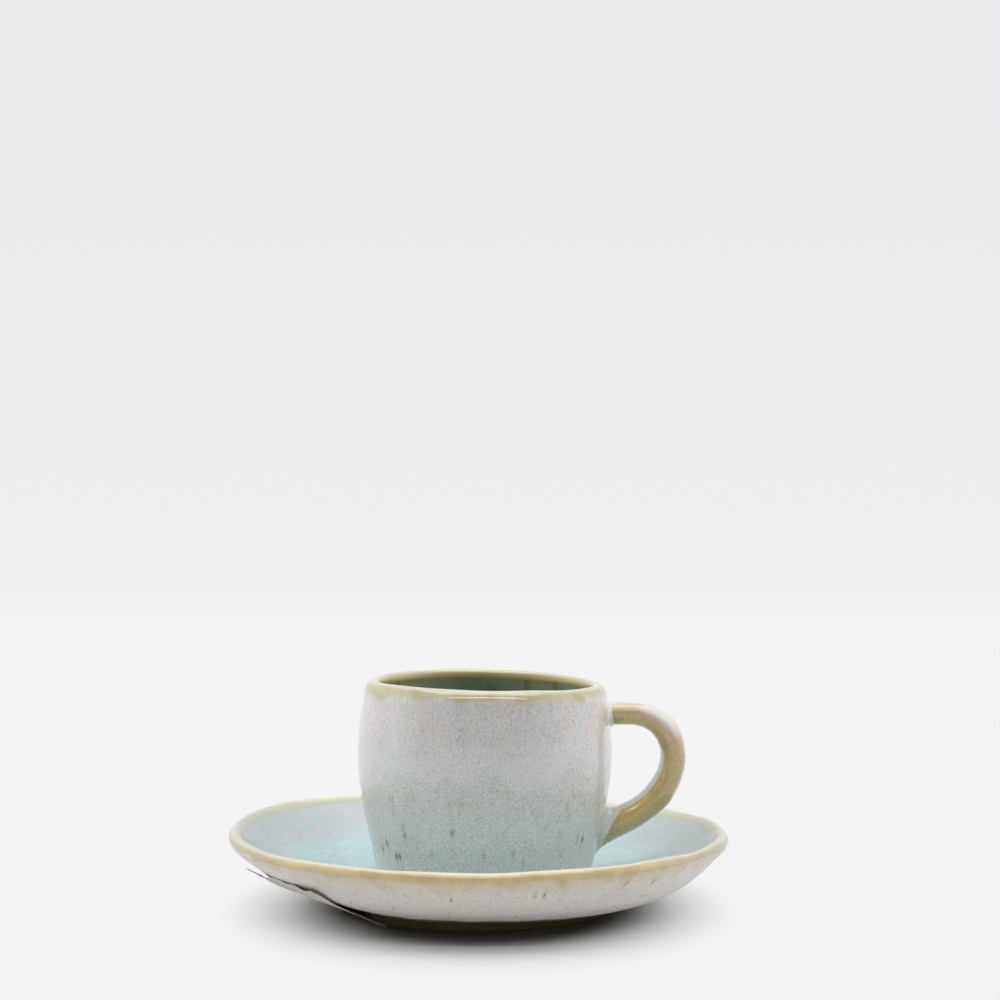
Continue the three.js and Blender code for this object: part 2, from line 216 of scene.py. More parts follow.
# Studio, in metres and watts: name, place, size and power of each lamp, and whether the gloss mirrors it
LAMPS = (
    ("overhead_softbox", (0, -0.02, 1.0), (1.1, 0.7), 6.0, True),
    ("front_strip", (0, -0.62, 0.86), (1.1, 0.07), 2.2, True),
    ("left_panel", (-0.88, 0.16, 0.62), (0.8, 0.6), 6.4, False),
    ("right_panel", (0.88, 0.16, 0.62), (0.8, 0.6), 6.1, False),
    ("low_front_card", (0, -1.2, 0.045), (2, 0.08), 1.4, False),
)
AIR_LIGHT = 0.02
SWEEP_SIDE = 12
SWEEP_HEIGHT = 2.5
SWEEP_BEND_START = 0.7
SWEEP_BEND = 0.6
SWEEP_BEND_STEPS = 24
CAMERA_PLACE = (0.0065, -0.659, 0.123)
CAMERA_LENS = 78.1  # mm, as the sensor
CAMERA_SENSOR = 36

# The oval round the object over which the floor pales, in mm
FLOOR_OVAL = (1, 0.75, 1)
FLOOR_PALE_START = 41
FLOOR_PALE_END = 84


# Reading the CAD solids


def cad_net(cad_node):
    """A CAD node's points in mm, with doubled points welded, and the numbers of each point's neighbours."""
    net = bmesh.new()
    net.from_mesh(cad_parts[cad_node].data)
    bmesh.ops.remove_doubles(net, verts=net.verts, dist=WELD)
    net.verts.index_update()
    points = np.array([v.co for v in net.verts]) / MM
    near = [[e.other_vert(v).index for e in v.link_edges] for v in net.verts]
    net.free()
    return points, near


def cad_rings(cad_node):
    """The rings of a closed turned or swept solid, from its lower end upwards, and its two end points."""
    points, near = cad_net(cad_node)
    ends = sorted(range(len(near)), key=lambda i: len(near[i]))[-2:]
    ends.sort(key=lambda i: points[i][2])
    reached = {ends[0]}
    ring = [ends[0]]
    rings = []
    while ring:
        ring = sorted({j for i in ring for j in near[i]} - reached)
        reached.update(ring)
        if len(ring) > 1:
            rings.append(points[ring])
    return rings, points[ends[0]], points[ends[1]]


def ring_order(ring, across, up):
    """A ring's points in order of their angle about its middle, starting beside the across direction."""
    arm = ring - ring.mean(0)
    half_step = math.pi / len(ring)
    angle = np.arctan2(arm @ up, arm @ across) + half_step
    return ring[np.argsort(angle % (2 * math.pi))]


# Drawing finer


def more_sides(rings, sides):
    """Rings drawn with more points, on the smooth closed curve through the ones there are."""
    had = rings.shape[1]
    waves = np.fft.rfft(rings, axis=1)
    waves[:, -1] *= 0.5  # the shortest wave is shared by two once there is room for more
    room = np.zeros((len(rings), sides // 2 + 1, 3), complex)
    room[:, : waves.shape[1]] = waves
    return np.fft.irfft(room, sides, axis=1) * (sides / had)


def more_rings(rings, step):
    """Rings added between the ones there are, no further apart than step, on smooth curves through them."""
    span = np.linalg.norm(np.diff(rings, axis=0), axis=2).mean(1)
    slope = np.diff(rings, axis=0) / span[:, None, None]
    lean = np.empty_like(rings)
    lean[0], lean[-1] = slope[0], slope[-1]
    before, after = span[:-1, None, None], span[1:, None, None]
    lean[1:-1] = (slope[:-1] * after + slope[1:] * before) / (before + after)
    drawn = []
    for i, length in enumerate(span):
        count = max(LEAST_STEPS, math.ceil(length / step))
        for t in np.arange(count) / count:
            drawn.append(
                (2 * t**3 - 3 * t**2 + 1) * rings[i]
                + (t**3 - 2 * t**2 + t) * length * lean[i]
                + (3 * t**2 - 2 * t**3) * rings[i + 1]
                + (t**3 - t**2) * length * lean[i + 1]
            )
    drawn.append(rings[-1])
    return np.array(drawn)


def turned(cad_node, sides, step):
    """A turned CAD solid as a fine grid of points, with its two poles."""
    rings, low, high = cad_rings(cad_node)
    across, up = np.array([1, 0, 0]), np.array([0, 1, 0])
    grid = more_sides(np.array([ring_order(r, across, up) for r in rings]), sides)
    return more_rings(grid, step), low, high


def normals(grid):
    """The direction out of the surface at each point of a grid of closed rings, from the lower pole up."""
    around = np.roll(grid, -1, 1) - np.roll(grid, 1, 1)
    along = np.gradient(grid, axis=0)
    out = np.cross(around, along)
    return out / np.maximum(np.linalg.norm(out, axis=2, keepdims=True), 1e-9)


def unevenness(points, size, seed):
    """A smooth random field of about unit depth, whose swellings are about size mm apart."""
    draw = np.random.default_rng(seed)
    way = draw.normal(size=(FIELD_WAVES, 3))
    way /= np.linalg.norm(way, axis=1, keepdims=True)
    pace = 2 * math.pi / size * draw.uniform(*FIELD_PACES, (FIELD_WAVES, 1))
    phase = draw.uniform(0, 2 * math.pi, FIELD_WAVES)
    return np.cos(points @ (way * pace).T + phase).sum(-1) / math.sqrt(FIELD_WAVES / 2)


def smooth_step(value, start, end):
    """0 at the start and before it, 1 at the end and after it, and smooth between them."""
    t = np.clip((value - start) / (end - start), 0, 1)
    return t * t * (3 - 2 * t)


def hump(value, middle, width):
    """1 at the middle, falling smoothly to nothing on both sides."""
    return np.exp(-(((value - middle) / width) ** 2))


def degrees_from(grid, centre, at):
    """Degrees from one direction about an upright axis to each point of a grid, the short way round."""
    angle = np.degrees(np.arctan2(grid[:, :, 1] - centre[1], grid[:, :, 0] - centre[0]))
    return (angle - at + 180) % 360 - 180


def from_rim(grid):
    """Distance over the surface from the crest of the rim to each point, positive outside."""
    crest = grid[:, :, 2].mean(1).argmax()
    walked = np.cumsum(np.linalg.norm(np.diff(grid, axis=0), axis=2), axis=0)
    walked = np.vstack([np.zeros((1, grid.shape[1])), walked])
    return walked[crest] - walked


def lip_wave(grid, rim, centre, waves):
    """Rise of a thrown lip that isn't quite level, at each point of a grid."""
    rise = sum(most * hump(degrees_from(grid, centre, at), 0, wide) for at, wide, most in waves)
    return rise * hump(rim, 0, LIP_WAVE_REACH)


# Making pieces


def grid_faces(rows, sides, closed):
    """Quads between the rings of a grid, which also joins its last ring to its first where it is closed."""
    faces = []
    for i in range(rows if closed else rows - 1):
        near, far = i * sides, (i + 1) % rows * sides
        for k in range(sides):
            after = (k + 1) % sides
            faces.append((near + k, near + after, far + after, far + k))
    return faces


def solid(grid, low=None, high=None):
    """Points and faces of a closed solid: a grid of rings with a pole at each end, or closed on itself."""
    rows, sides = grid.shape[:2]
    points = grid.reshape(-1, 3)
    faces = grid_faces(rows, sides, low is None)
    if low is not None:
        points = np.vstack([points, low, high])
        first, last, top = rows * sides, rows * sides + 1, (rows - 1) * sides
        faces += [(first, (k + 1) % sides, k) for k in range(sides)]
        faces += [(last, top + k, top + (k + 1) % sides) for k in range(sides)]
    return points, faces


def piece(name, shape, body, cad_node, material, marks=None):
    """A finished piece that stands for a CAD node. Marks are values kept at its points for its material to
    read, and a pole takes those of the ring beside it."""
    points, faces = shape
    mesh = bpy.data.meshes.new(name)
    mesh.from_pydata((points * MM).tolist(), [], faces)
    for mark, values in (marks or {}).items():
        held = np.zeros(len(points), np.float32)
        held[: values.size] = values.ravel()
        if len(points) > values.size:
            held[values.size :] = values[0].mean(), values[-1].mean()
        mesh.attributes.new(mark, "FLOAT", "POINT").data.foreach_set("value", held)
    net = bmesh.new()
    net.from_mesh(mesh)
    bmesh.ops.recalc_face_normals(net, faces=net.faces)
    net.to_mesh(mesh)
    net.free()
    mesh.shade_smooth()
    mesh.materials.append(material)
    made = bpy.data.objects.new(name, mesh)
    bpy.context.scene.collection.objects.link(made)
    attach(made, body)
    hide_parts(cad_node)


# Materials


def linear(hex_colour):
    """An sRGB hex colour as linear red, green, blue and alpha."""
    parts = [int(hex_colour[i : i + 2], 16) / 255 for i in (1, 3, 5)]
    return [p / 12.92 if p <= 0.04045 else ((p + 0.055) / 1.055) ** 2.4 for p in parts] + [1]


def node(tree, kind, links=None, **settings):
    """Adds a node to a tree. Links maps its inputs to sockets or plain values, and settings are its own
    properties."""
    made = tree.nodes.new(kind)
    for setting, value in settings.items():
        setattr(made, setting, value)
    for name, value in (links or {}).items():
        if isinstance(value, bpy.types.NodeSocket):
            tree.links.new(value, made.inputs[name])
        else:
            made.inputs[name].default_value = value
    return made


def new_material(name, *marks):
    """An empty material, its node tree, the place on the piece in mm, and the values of its marks."""
    material = bpy.data.materials.new(name)
    material.use_nodes = True
    tree = material.node_tree
    tree.nodes.clear()
    at = node(tree, "ShaderNodeTexCoord").outputs["Object"]
    place = node(tree, "ShaderNodeVectorMath", {0: at, 1: (1 / MM,) * 3}, operation="MULTIPLY").outputs[0]
    values = [node(tree, "ShaderNodeAttribute", attribute_name=m).outputs["Fac"] for m in marks]
    return material, tree, place, values


def mottle(tree, place, size, tall=1.0, detail=2.0, shift=0.0):
    """Cloudy variation from 0 to 1 in patches of a size in mm, drawn out upright where tall is over 1."""
    fit = (1 / size, 1 / size, 1 / size / tall)
    links = {0: place, 1: fit, 2: (shift, shift, shift)}
    at = node(tree, "ShaderNodeVectorMath", links, operation="MULTIPLY_ADD").outputs[0]
    return node(tree, "ShaderNodeTexNoise", {"Vector": at, "Scale": 1, "Detail": detail}).outputs["Fac"]


def specks(tree, place, spacing, share, tall=1.0):
    """Spots of iron, spacing mm apart: nearness to one, which is 1 in its middle, for a share of them."""
    fit = (1 / spacing, 1 / spacing, 1 / spacing / tall)
    at = node(tree, "ShaderNodeVectorMath", {0: place, 1: fit}, operation="MULTIPLY").outputs[0]
    cells = node(tree, "ShaderNodeTexVoronoi", {"Vector": at, "Scale": 1})
    pick = node(tree, "ShaderNodeSeparateColor", {0: cells.outputs["Color"]}).outputs[0]
    left_out = node(tree, "ShaderNodeMath", {0: pick, 1: share}, operation="GREATER_THAN").outputs[0]
    links = {0: cells.outputs["Distance"], 1: left_out}
    gap = node(tree, "ShaderNodeMath", links, operation="ADD").outputs[0]
    return node(tree, "ShaderNodeMath", {0: 1.0, 1: gap}, operation="SUBTRACT").outputs[0]


def moved(tree, value, cloud, reach):
    """A distance whose edge wanders by up to half of reach either way."""
    links = {0: cloud, 1: reach, 2: value}
    wandering = node(tree, "ShaderNodeMath", links, operation="MULTIPLY_ADD").outputs[0]
    return node(tree, "ShaderNodeMath", {0: wandering, 1: reach / 2}, operation="SUBTRACT").outputs[0]


def layered(tree, base, layers):
    """A base colour under layers of glaze. Each brings its colour as a value goes from start to end, up to
    a share at most, and within the masks that follow."""
    colour = linear(base)
    for over, value, start, end, most, *masks in layers:
        links = {"Value": value, "From Min": start, "From Max": end, "To Max": most}
        share = node(tree, "ShaderNodeMapRange", links, interpolation_type="SMOOTHSTEP").outputs[0]
        for mask in masks:
            share = node(tree, "ShaderNodeMath", {0: share, 1: mask}, operation="MULTIPLY").outputs[0]
        links = {0: share, 6: colour, 7: linear(over)}
        colour = node(tree, "ShaderNodeMix", links, data_type="RGBA").outputs[2]
    return colour


def glaze(tree, place, colour, grain, satin, coat):
    """Fired glaze: a glassy skin over the colour, duller on the grain, with a ripple like orange peel."""
    peel = mottle(tree, place, size=PEEL_SIZE, detail=1)
    links = {"Height": peel, "Strength": PEEL_STRENGTH, "Distance": PEEL_HEIGHT * MM}
    bump = node(tree, "ShaderNodeBump", links).outputs[0]
    links = {0: grain, 1: GRAIN_ROUGHNESS, 2: satin}
    dull = node(tree, "ShaderNodeMath", links, operation="MULTIPLY_ADD").outputs[0]
    links = {
        "Base Color": colour,
        "Roughness": dull,
        "IOR": 1.54,
        "Normal": bump,
        "Coat Weight": coat,
        "Coat Roughness": 0.04,
    }
    shader = node(tree, "ShaderNodeBsdfPrincipled", links).outputs[0]
    node(tree, "ShaderNodeOutputMaterial", {"Surface": shader})


def cup_glaze():
    """Milky reactive glaze over iron-speckled stoneware: lilac white above, greyer below, ochre on the lip
    and grey-green inside. The real speckle is too fine to show, so the grain is drawn coarser."""
    names = ("from_rim", "outside", "inside", "crest", "band", "low", "high", "dip", "stain", "drops")
    names += ("joint", "ochre", "run")
    material, tree, place, marks = new_material("reactive_glaze_cup", *names)
    rim, outside, inside, crest, band, low, high, dip, stain, drops, joint, ochre, run = marks
    cloud = mottle(tree, place, size=14)
    patch = mottle(tree, place, size=7, tall=1.6, shift=3)
    tint = mottle(tree, place, size=8, tall=1.8, shift=7)
    spots = mottle(tree, place, size=3, tall=1.8, shift=5)
    rain = mottle(tree, place, size=0.8, tall=2.4, detail=1)
    grain = mottle(tree, place, size=0.56)
    grit = specks(tree, place, spacing=1.1, share=0.6, tall=1.3)
    dash = specks(tree, place, spacing=3.8, share=0.8, tall=2.4)
    edge = moved(tree, rim, mottle(tree, place, size=8, shift=11), reach=8)
    inner_edge = moved(tree, rim, cloud, reach=3)
    colour = layered(
        tree,
        "#DEDBDA",
        [
            ("#D7DBD8", cloud, 0.35, 0.65, 0.8),
            ("#E2D0CD", tint, 0.42, 0.66, 0.55, high),
            ("#C6D0D4", patch, 0.55, 0.75, 0.65, high),
            ("#D2D2CD", dip, 0, 1, 0.7),
            ("#CBC7BE", low, 0, 1, 0.85),
            ("#A99A7C", spots, 0.55, 0.75, 0.5, stain),
            ("#A09E9B", rain, 0.5, 0.75, 0.32, high),
            ("#F2F0EE", grain, 0.48, 0.3, 0.42),
            ("#8C8C89", grain, 0.5, 0.74, 0.37),
            ("#7B807A", grain, 0.5, 0.74, 0.22, dip),
            ("#77736D", grit, 0.66, 0.84, 0.2),
            ("#9C917A", dash, 0.66, 0.86, 0.4, drops),
            ("#4E442E", dash, 0.83, 0.93, 0.75, drops),
            ("#EEF0EA", joint, 0.15, 0.85, 0.85),
            ("#BCAD7A", ochre, 0.2, 0.8, 1),
            ("#C0BC8E", edge, 6.0, 3.0, 0.85, outside),
            ("#B8A866", patch, 0.42, 0.68, 0.75, band),
            ("#939D8C", inside, 0, 1, 1),
            ("#A8B3A4", spots, 0.5, 0.72, 0.5, inside),
            ("#7C887A", tint, 0.48, 0.28, 0.5, inside),
            ("#5E6B66", grain, 0.52, 0.74, 0.3, inside),
            ("#968C54", inner_edge, -5.2, -3.4, 1, inside),
            ("#8A7236", run, 0.1, 0.9, 0.65, inside),
            ("#CCC286", rim, -4.0, -2.2, 0.9, inside),
            # The crest and the lip's outer edge are paler, partly the glaze and partly a painted highlight
            ("#DCD5B4", crest, 0, 1, 0.8),
            ("#D2D4C2", rim, 2.4, 1.0, 0.8, outside),
        ],
    )
    glaze(tree, place, colour, grain, satin=0.05, coat=0.4)
    return material


def handle_glaze():
    """The same glaze run thin over a pulled handle: ochre on its flanks, milky on its spine and inner edge.
    Its grain is drawn coarser than the real speckle, so that it shows."""
    material, tree, place, (milk, streak) = new_material("reactive_glaze_handle", "milk", "streak")
    cloud = mottle(tree, place, size=8)
    grain = mottle(tree, place, size=0.8)
    edge = moved(tree, milk, mottle(tree, place, size=3), reach=0.3)
    colour = layered(
        tree,
        "#C8B47C",
        [
            ("#B4A672", cloud, 0.45, 0.25, 0.9),
            ("#E2C27E", cloud, 0.3, 0.55, 0.85, streak),
            ("#8A7B50", grain, 0.5, 0.74, 0.35),
            ("#CFC096", grain, 0.48, 0.3, 0.3),
            ("#5A4A2C", specks(tree, place, spacing=2.6, share=0.3), 0.86, 0.92, 0.6),
            ("#D2BCA6", edge, 0.05, 0.7, 0.8),
            ("#ECEBE8", edge, 0.45, 0.95, 0.95),
        ],
    )
    glaze(tree, place, colour, grain, satin=0.1, coat=0.8)
    return material


def dish_glaze():
    """The glaze on the saucer: an aqua pool that pales to lilac up the wall, an ochre edge under a pale
    crest that is partly a painted highlight, and warm white beneath, made whiter down the outer wall as
    painted light against its shade. Round the foot the underside is dark olive, which is painted shade. Its
    grain is drawn coarser than the real speckle."""
    names = ("from_rim", "outside", "inside", "crest", "band", "pool", "swirl", "streak", "painted_shade_under", "satin")
    names += ("ochre", "below_band", "side")
    material, tree, place, marks = new_material("reactive_glaze_saucer", *names)
    rim, outside, inside, crest, band, pool, swirl, streak, painted_shade_under, satin, ochre, below_band, side = marks
    cloud = mottle(tree, place, size=12)
    patch = mottle(tree, place, size=5, shift=3)
    grain = mottle(tree, place, size=0.85)
    wash = mottle(tree, place, size=4.5, detail=4, shift=9)
    edge = moved(tree, ochre, mottle(tree, place, size=13, detail=1), reach=2.2)
    inner_edge = moved(tree, rim, patch, reach=2.0)
    # Drips, fringe and rings are drawn on the wall unrolled: the way out from the middle, and the distance
    # from the rim
    flat = node(tree, "ShaderNodeVectorMath", {0: place, 1: (1, 1, 0)}, operation="MULTIPLY").outputs[0]
    way = node(tree, "ShaderNodeVectorMath", {0: flat}, operation="NORMALIZE").outputs[0]
    down = node(tree, "ShaderNodeCombineXYZ", {2: rim}).outputs[0]
    links = {0: way, 1: (DRIP_RADIUS,) * 3, 2: down}
    unrolled = node(tree, "ShaderNodeVectorMath", links, operation="MULTIPLY_ADD").outputs[0]
    drips = specks(tree, unrolled, spacing=3.4, share=0.6, tall=3.2)
    ring = mottle(tree, unrolled, size=6, tall=0.3)
    fringe = mottle(tree, unrolled, size=1.7, tall=3)
    colour = layered(
        tree,
        "#F0EAE2",
        [
            ("#F0EDE8", cloud, 0.4, 0.65, 0.8),
            ("#DED3C5", patch, 0.46, 0.7, 0.6, outside),
            # Painted light: the outer wall is whitened from just under the band downwards, against the
            # shade it faces down into
            ("#FAF7F3", rim, 6, 22, 1, outside),
            ("#C0C8CA", inside, 0, 1, 1),
            ("#CCCACB", streak, 0.3, 1.0, 0.5, inside),
            ("#B0CCD2", wash, 0.5, 0.7, 0.75, inside),
            ("#D2CAD2", wash, 0.48, 0.28, 0.75, inside),
            ("#BCDADB", pool, 0, 1, 1, inside),
            ("#C6DEDE", cloud, 0.45, 0.65, 0.7, pool, inside),
            ("#D6E6E8", wash, 0.5, 0.72, 0.6, pool, inside),
            ("#A2CCCC", wash, 0.48, 0.28, 0.5, pool, inside),
            ("#D6E6E8", ring, 0.5, 0.72, 0.65, swirl, inside),
            ("#A2CCCC", ring, 0.48, 0.28, 0.65, swirl, inside),
            ("#EDEBE9", grain, 0.48, 0.3, 0.15),
            ("#A5A29C", grain, 0.52, 0.76, 0.15),
            ("#F2EEEA", grain, 0.48, 0.3, 0.2, outside),
            ("#A59C90", grain, 0.52, 0.76, 0.3, outside),
            ("#CDAF88", fringe, 0.5, 0.72, 0.5, outside, below_band),
            ("#D2BA92", drips, 0.6, 0.85, 0.6, outside, below_band),
            ("#A8865A", drips, 0.86, 0.93, 0.75, outside),
            # Painted shade: the underside round the foot is dark olive, mottled and grained
            ("#776E4E", painted_shade_under, 0, 1, 0.95),
            ("#8C8262", patch, 0.5, 0.7, 0.4, painted_shade_under),
            ("#5E563C", grain, 0.52, 0.74, 0.4, painted_shade_under),
            ("#DCD0B2", edge, 10, 4.2, 0.6, outside),
            ("#DCCC9C", edge, 4.8, 3.5, 1, outside),
            ("#BEB99C", edge, 4.8, 3.5, 0.9, outside, side),
            ("#C4B284", patch, 0.42, 0.62, 0.45, outside, band),
            ("#C6C8AC", inner_edge, -4.2, -2.4, 0.95, inside),
            # The crest is paler, and greyer at the left and right, partly the glaze and partly a painted
            # highlight
            ("#DEDCC8", rim, 1.6, 1.0, 1, crest),
            ("#C8C9BC", rim, 1.6, 1.0, 0.8, crest, side),
        ],
    )
    glaze(tree, place, colour, grain, satin, coat=0.1)
    return material


def bare_stoneware():
    """Unglazed stoneware, toasted brown by the kiln and gritty to the touch, stained olive where the glaze
    ends. Its grit is drawn coarser than the real sand, so that it shows."""
    material, tree, place, (stain,) = new_material("bare_stoneware", "stain")
    cloud = mottle(tree, place, size=6)
    grit = mottle(tree, place, size=0.7, detail=3)
    colour = layered(
        tree,
        "#73603F",
        [
            ("#645437", cloud, 0.35, 0.7, 1),
            ("#52452E", grit, 0.5, 0.7, 0.6),
            ("#3F3226", specks(tree, place, spacing=1.4, share=0.5), 0.74, 0.86, 0.8),
            ("#645C41", stain, 0, 1, 0.9),
        ],
    )
    links = {"Height": grit, "Strength": 0.5, "Distance": 0.15 * MM}
    bump = node(tree, "ShaderNodeBump", links).outputs[0]
    links = {"Base Color": colour, "Roughness": 0.85, "Normal": bump}
    shader = node(tree, "ShaderNodeBsdfPrincipled", links).outputs[0]
    node(tree, "ShaderNodeOutputMaterial", {"Surface": shader})
    return material


def label_paper():
    """Uncoated white label paper, slightly yellowed, with its fibres just showing. They are drawn coarser
    than real fibres, which are too fine to show."""
    material, tree, place, _ = new_material("label_paper")
    fibre = mottle(tree, place, size=0.6, detail=4)
    cloud = mottle(tree, place, size=9)
    layers = [("#CFCCC4", fibre, 0.4, 0.7, 0.5), ("#DCD8CE", cloud, 0.4, 0.7, 0.6)]
    colour = layered(tree, "#E0DEDA", layers)
    links = {"Height": fibre, "Strength": 0.3, "Distance": 0.05 * MM}
    bump = node(tree, "ShaderNodeBump", links).outputs[0]
    links = {"Base Color": colour, "Roughness": 0.65, "Normal": bump}
    shader = node(tree, "ShaderNodeBsdfPrincipled", links).outputs[0]
    node(tree, "ShaderNodeOutputMaterial", {"Surface": shader})
    return material


glazed_cup, glazed_handle, glazed_dish = cup_glaze(), handle_glaze(), dish_glaze()
stoneware, paper = bare_stoneware(), label_paper()


# Cup wall

cup_grid, cup_low, cup_high = turned("cup_body", CUP_SIDES, CUP_STEP)
cup_rim = from_rim(cup_grid)
on_lip = hump(cup_rim, 0, LIP_DENT_REACH)
dent = CUP_DENT_DEPTH * unevenness(cup_grid, CUP_DENT_SIZE, seed=3)
dent += LIP_DENT_DEPTH * on_lip * unevenness(cup_grid, LIP_DENT_SIZE, seed=4)
drift = unevenness(cup_grid, THROWING_RING_DRIFT, seed=5)
turn = np.sin(2 * math.pi * cup_grid[:, :, 2] / THROWING_RING_PITCH + drift)
dent += THROWING_RING_DEPTH * turn * (1 - on_lip)
dent *= smooth_step(cup_grid[:, :, 2] - cup_low[2], *CUP_DENT_ZONE)
cup_grid = cup_grid + normals(cup_grid) * dent[:, :, None]
cup_grid[:, :, 2] += lip_wave(cup_grid, cup_rim, cup_low, CUP_LIP_WAVES)
cup_shape = solid(cup_grid, cup_low, cup_high)
cup_wall = BVHTree.FromPolygons([Vector(p) for p in cup_shape[0]], cup_shape[1])


# Handle

handle_rings, _, _ = cad_rings("cup_handle")
bow_line = np.array([r.mean(0) for r in handle_rings])
bow_way = np.gradient(bow_line, axis=0)
bow_way /= np.linalg.norm(bow_way, axis=1, keepdims=True)
across = np.array([0, 1, 0])
bow = np.array([ring_order(r, across, np.cross(w, across)) for r, w in zip(handle_rings, bow_way)])
bow = more_rings(more_sides(bow, HANDLE_SIDES), HANDLE_STEP)
dent = HANDLE_DENT_DEPTH * unevenness(bow, HANDLE_DENT_SIZE, seed=8)
bow = bow + normals(bow) * dent[:, :, None]
# How far out each side of the handle lies: 1 on the spine, -1 on the inner edge
outer = -np.sin(2 * math.pi * np.arange(HANDLE_SIDES) / HANDLE_SIDES)


def root(rings):
    """Where each side of the handle meets the wall, the wall's direction outwards there, and the handle's
    direction into it, for an end whose rings start there."""
    middle = rings.mean(1)
    way = middle[HANDLE_END] - middle[HANDLE_CLEAR]
    way /= np.linalg.norm(way)
    meets = [cup_wall.ray_cast(Vector(p), Vector(way)) for p in rings[HANDLE_CLEAR]]
    return np.array([m[0] for m in meets]), np.array([m[1] for m in meets]), way


def slip_joint(rings, corners, wall_out, way, reach):
    """The slip smoothed round one end of the handle, whose rings start at the wall. Each side is a fillet
    from the handle, drawn towards its corner with the wall, and out over the wall, closed by hidden faces
    under both."""
    centre = corners.mean(0)
    leaving = rings[reach["ring"] : HANDLE_LEAVING]
    sections = []
    for k in range(HANDLE_SIDES):
        corner = corners[k]
        along = reach["outer"] + (reach["inner"] - reach["outer"]) * (1 - outer[k]) / 2
        gone = (leaving[:, k] - corner) @ -way
        start = np.array([np.interp(along, gone, leaving[:, k, i]) for i in range(3)])
        handle_out = corner - centre
        handle_out -= way * (handle_out @ way)
        handle_out /= np.linalg.norm(handle_out)
        side = corner - centre
        side -= wall_out[k] * (side @ wall_out[k])
        side *= reach["wall"] / np.linalg.norm(side)
        end, end_out, _, _ = cup_wall.find_nearest(Vector(corner + side))
        end, end_out = np.array(end), np.array(end_out)
        start = start - handle_out * JOINT_SINK
        end = end - end_out * JOINT_SINK
        shares = np.linspace(0, 1, JOINT_STEPS)
        fillet = [(1 - t) ** 2 * start + 2 * t * (1 - t) * corner + t**2 * end for t in shares]
        deep = corner + (way - handle_out) * JOINT_ROOT
        sections.append(fillet + [end - end_out * JOINT_ROOT, deep, start - handle_out * JOINT_ROOT])
    return np.array(sections).transpose(1, 0, 2)


def run_in(ring, meets, way):
    """Rings from one of the handle's rings straight on into the wall, ending under its surface."""
    end = meets + way * HANDLE_ROOT
    return np.array([ring + (end - ring) * t for t in np.linspace(0, 1, HANDLE_CLEAR + 1)[1:]])


lower_meets, lower_wall, lower_way = root(bow)
upper_meets, upper_wall, upper_way = root(bow[::-1])
lower_joint = slip_joint(bow, lower_meets, lower_wall, lower_way, LOWER_JOINT)
upper_joint = slip_joint(bow[::-1], upper_meets, upper_wall, upper_way, UPPER_JOINT)
lower_run = run_in(bow[HANDLE_CLEAR], lower_meets, lower_way)
upper_run = run_in(bow[-1 - HANDLE_CLEAR], upper_meets, upper_way)
bow = np.concatenate([lower_run[::-1], bow[HANDLE_CLEAR:-HANDLE_CLEAR], upper_run])
handle_shape = solid(bow, bow[0].mean(0), bow[-1].mean(0))

# Milk of the glaze: along the spine, on the upper bend, along the inner edge of the lower half, and at both
# joints
bow_walk = np.cumsum(np.linalg.norm(np.diff(bow.mean(1), axis=0), axis=1))
station = (np.concatenate([[0], bow_walk]) / bow_walk[-1])[:, None]
upper_half = station > 0.5
side = np.broadcast_to(outer, bow.shape[:2])
inner_from = INNER_MILK_START + INNER_MILK_RETREAT * smooth_step(station, *INNER_MILK_RETREAT_ZONE)
lower_reach = LOWER_SLIP_REACH - LOWER_SLIP_SLANT * outer
lower_zone = (lower_reach + LOWER_SLIP_EDGE, lower_reach - LOWER_SLIP_EDGE)
milk = np.maximum.reduce(
    [
        SPINE_MILK_SHARE * smooth_step(side, *SPINE_MILK),
        BEND_MILK_SHARE * smooth_step(side, *BEND_MILK) * hump(station, BEND_STATION, BEND_LENGTH),
        smooth_step(-side, inner_from, inner_from + INNER_MILK_WIDTH),
        smooth_step((bow - lower_meets) @ -lower_way, *lower_zone) * ~upper_half,
        smooth_step((bow - upper_meets) @ -upper_way, *UPPER_SLIP_ZONE) * upper_half,
    ]
)
flank = hump(side, FLANK_SIDE, FLANK_WIDTH)
flank = flank * (1 - FLANK_GAP * hump(station, FLANK_GAP_STATION, FLANK_GAP_LENGTH))
flank = flank * (1 - FLANK_LOSS * smooth_step(station, *FLANK_LOSS_ZONE))


# Glaze on the cup

joint_centres = [upper_joint[0].mean(0), lower_joint[0].mean(0)]


def near_joint(points):
    """Nearness to a slip joint, 1 in its middle."""
    away = np.minimum.reduce([np.linalg.norm(points - c, axis=-1) for c in joint_centres])
    return hump(away, 0, JOINT_HALO)


def rim_marks(grid, rim):
    """Sides of the wall, the crest of its rim, and the band under the crest, whose edge wanders."""
    wander = BAND_WANDER * unevenness(grid, BAND_WANDER_SIZE, seed=32)
    outside = smooth_step(rim, *OUTSIDE)
    return {
        "from_rim": rim,
        "outside": outside,
        "inside": smooth_step(rim, *INSIDE),
        "crest": smooth_step(rim, *CREST_INNER_EDGE) * smooth_step(rim, *CREST_OUTER_EDGE),
        "band": smooth_step(rim + wander, *BAND) * outside,
    }


def lip_runs(grid, rim):
    """Thin runs of ochre down the inside from the lip, each at its own angle and of its own length."""
    out = np.hypot(grid[:, :, 0] - cup_low[0], grid[:, :, 1] - cup_low[1])
    runs = []
    for at, length in LIP_RUNS:
        aside = np.radians(degrees_from(grid, cup_low, at)) * out
        runs.append(hump(aside, 0, LIP_RUN_WIDTH) * smooth_step(rim, -length, LIP_RUN_FADE - length))
    return np.maximum.reduce(runs)


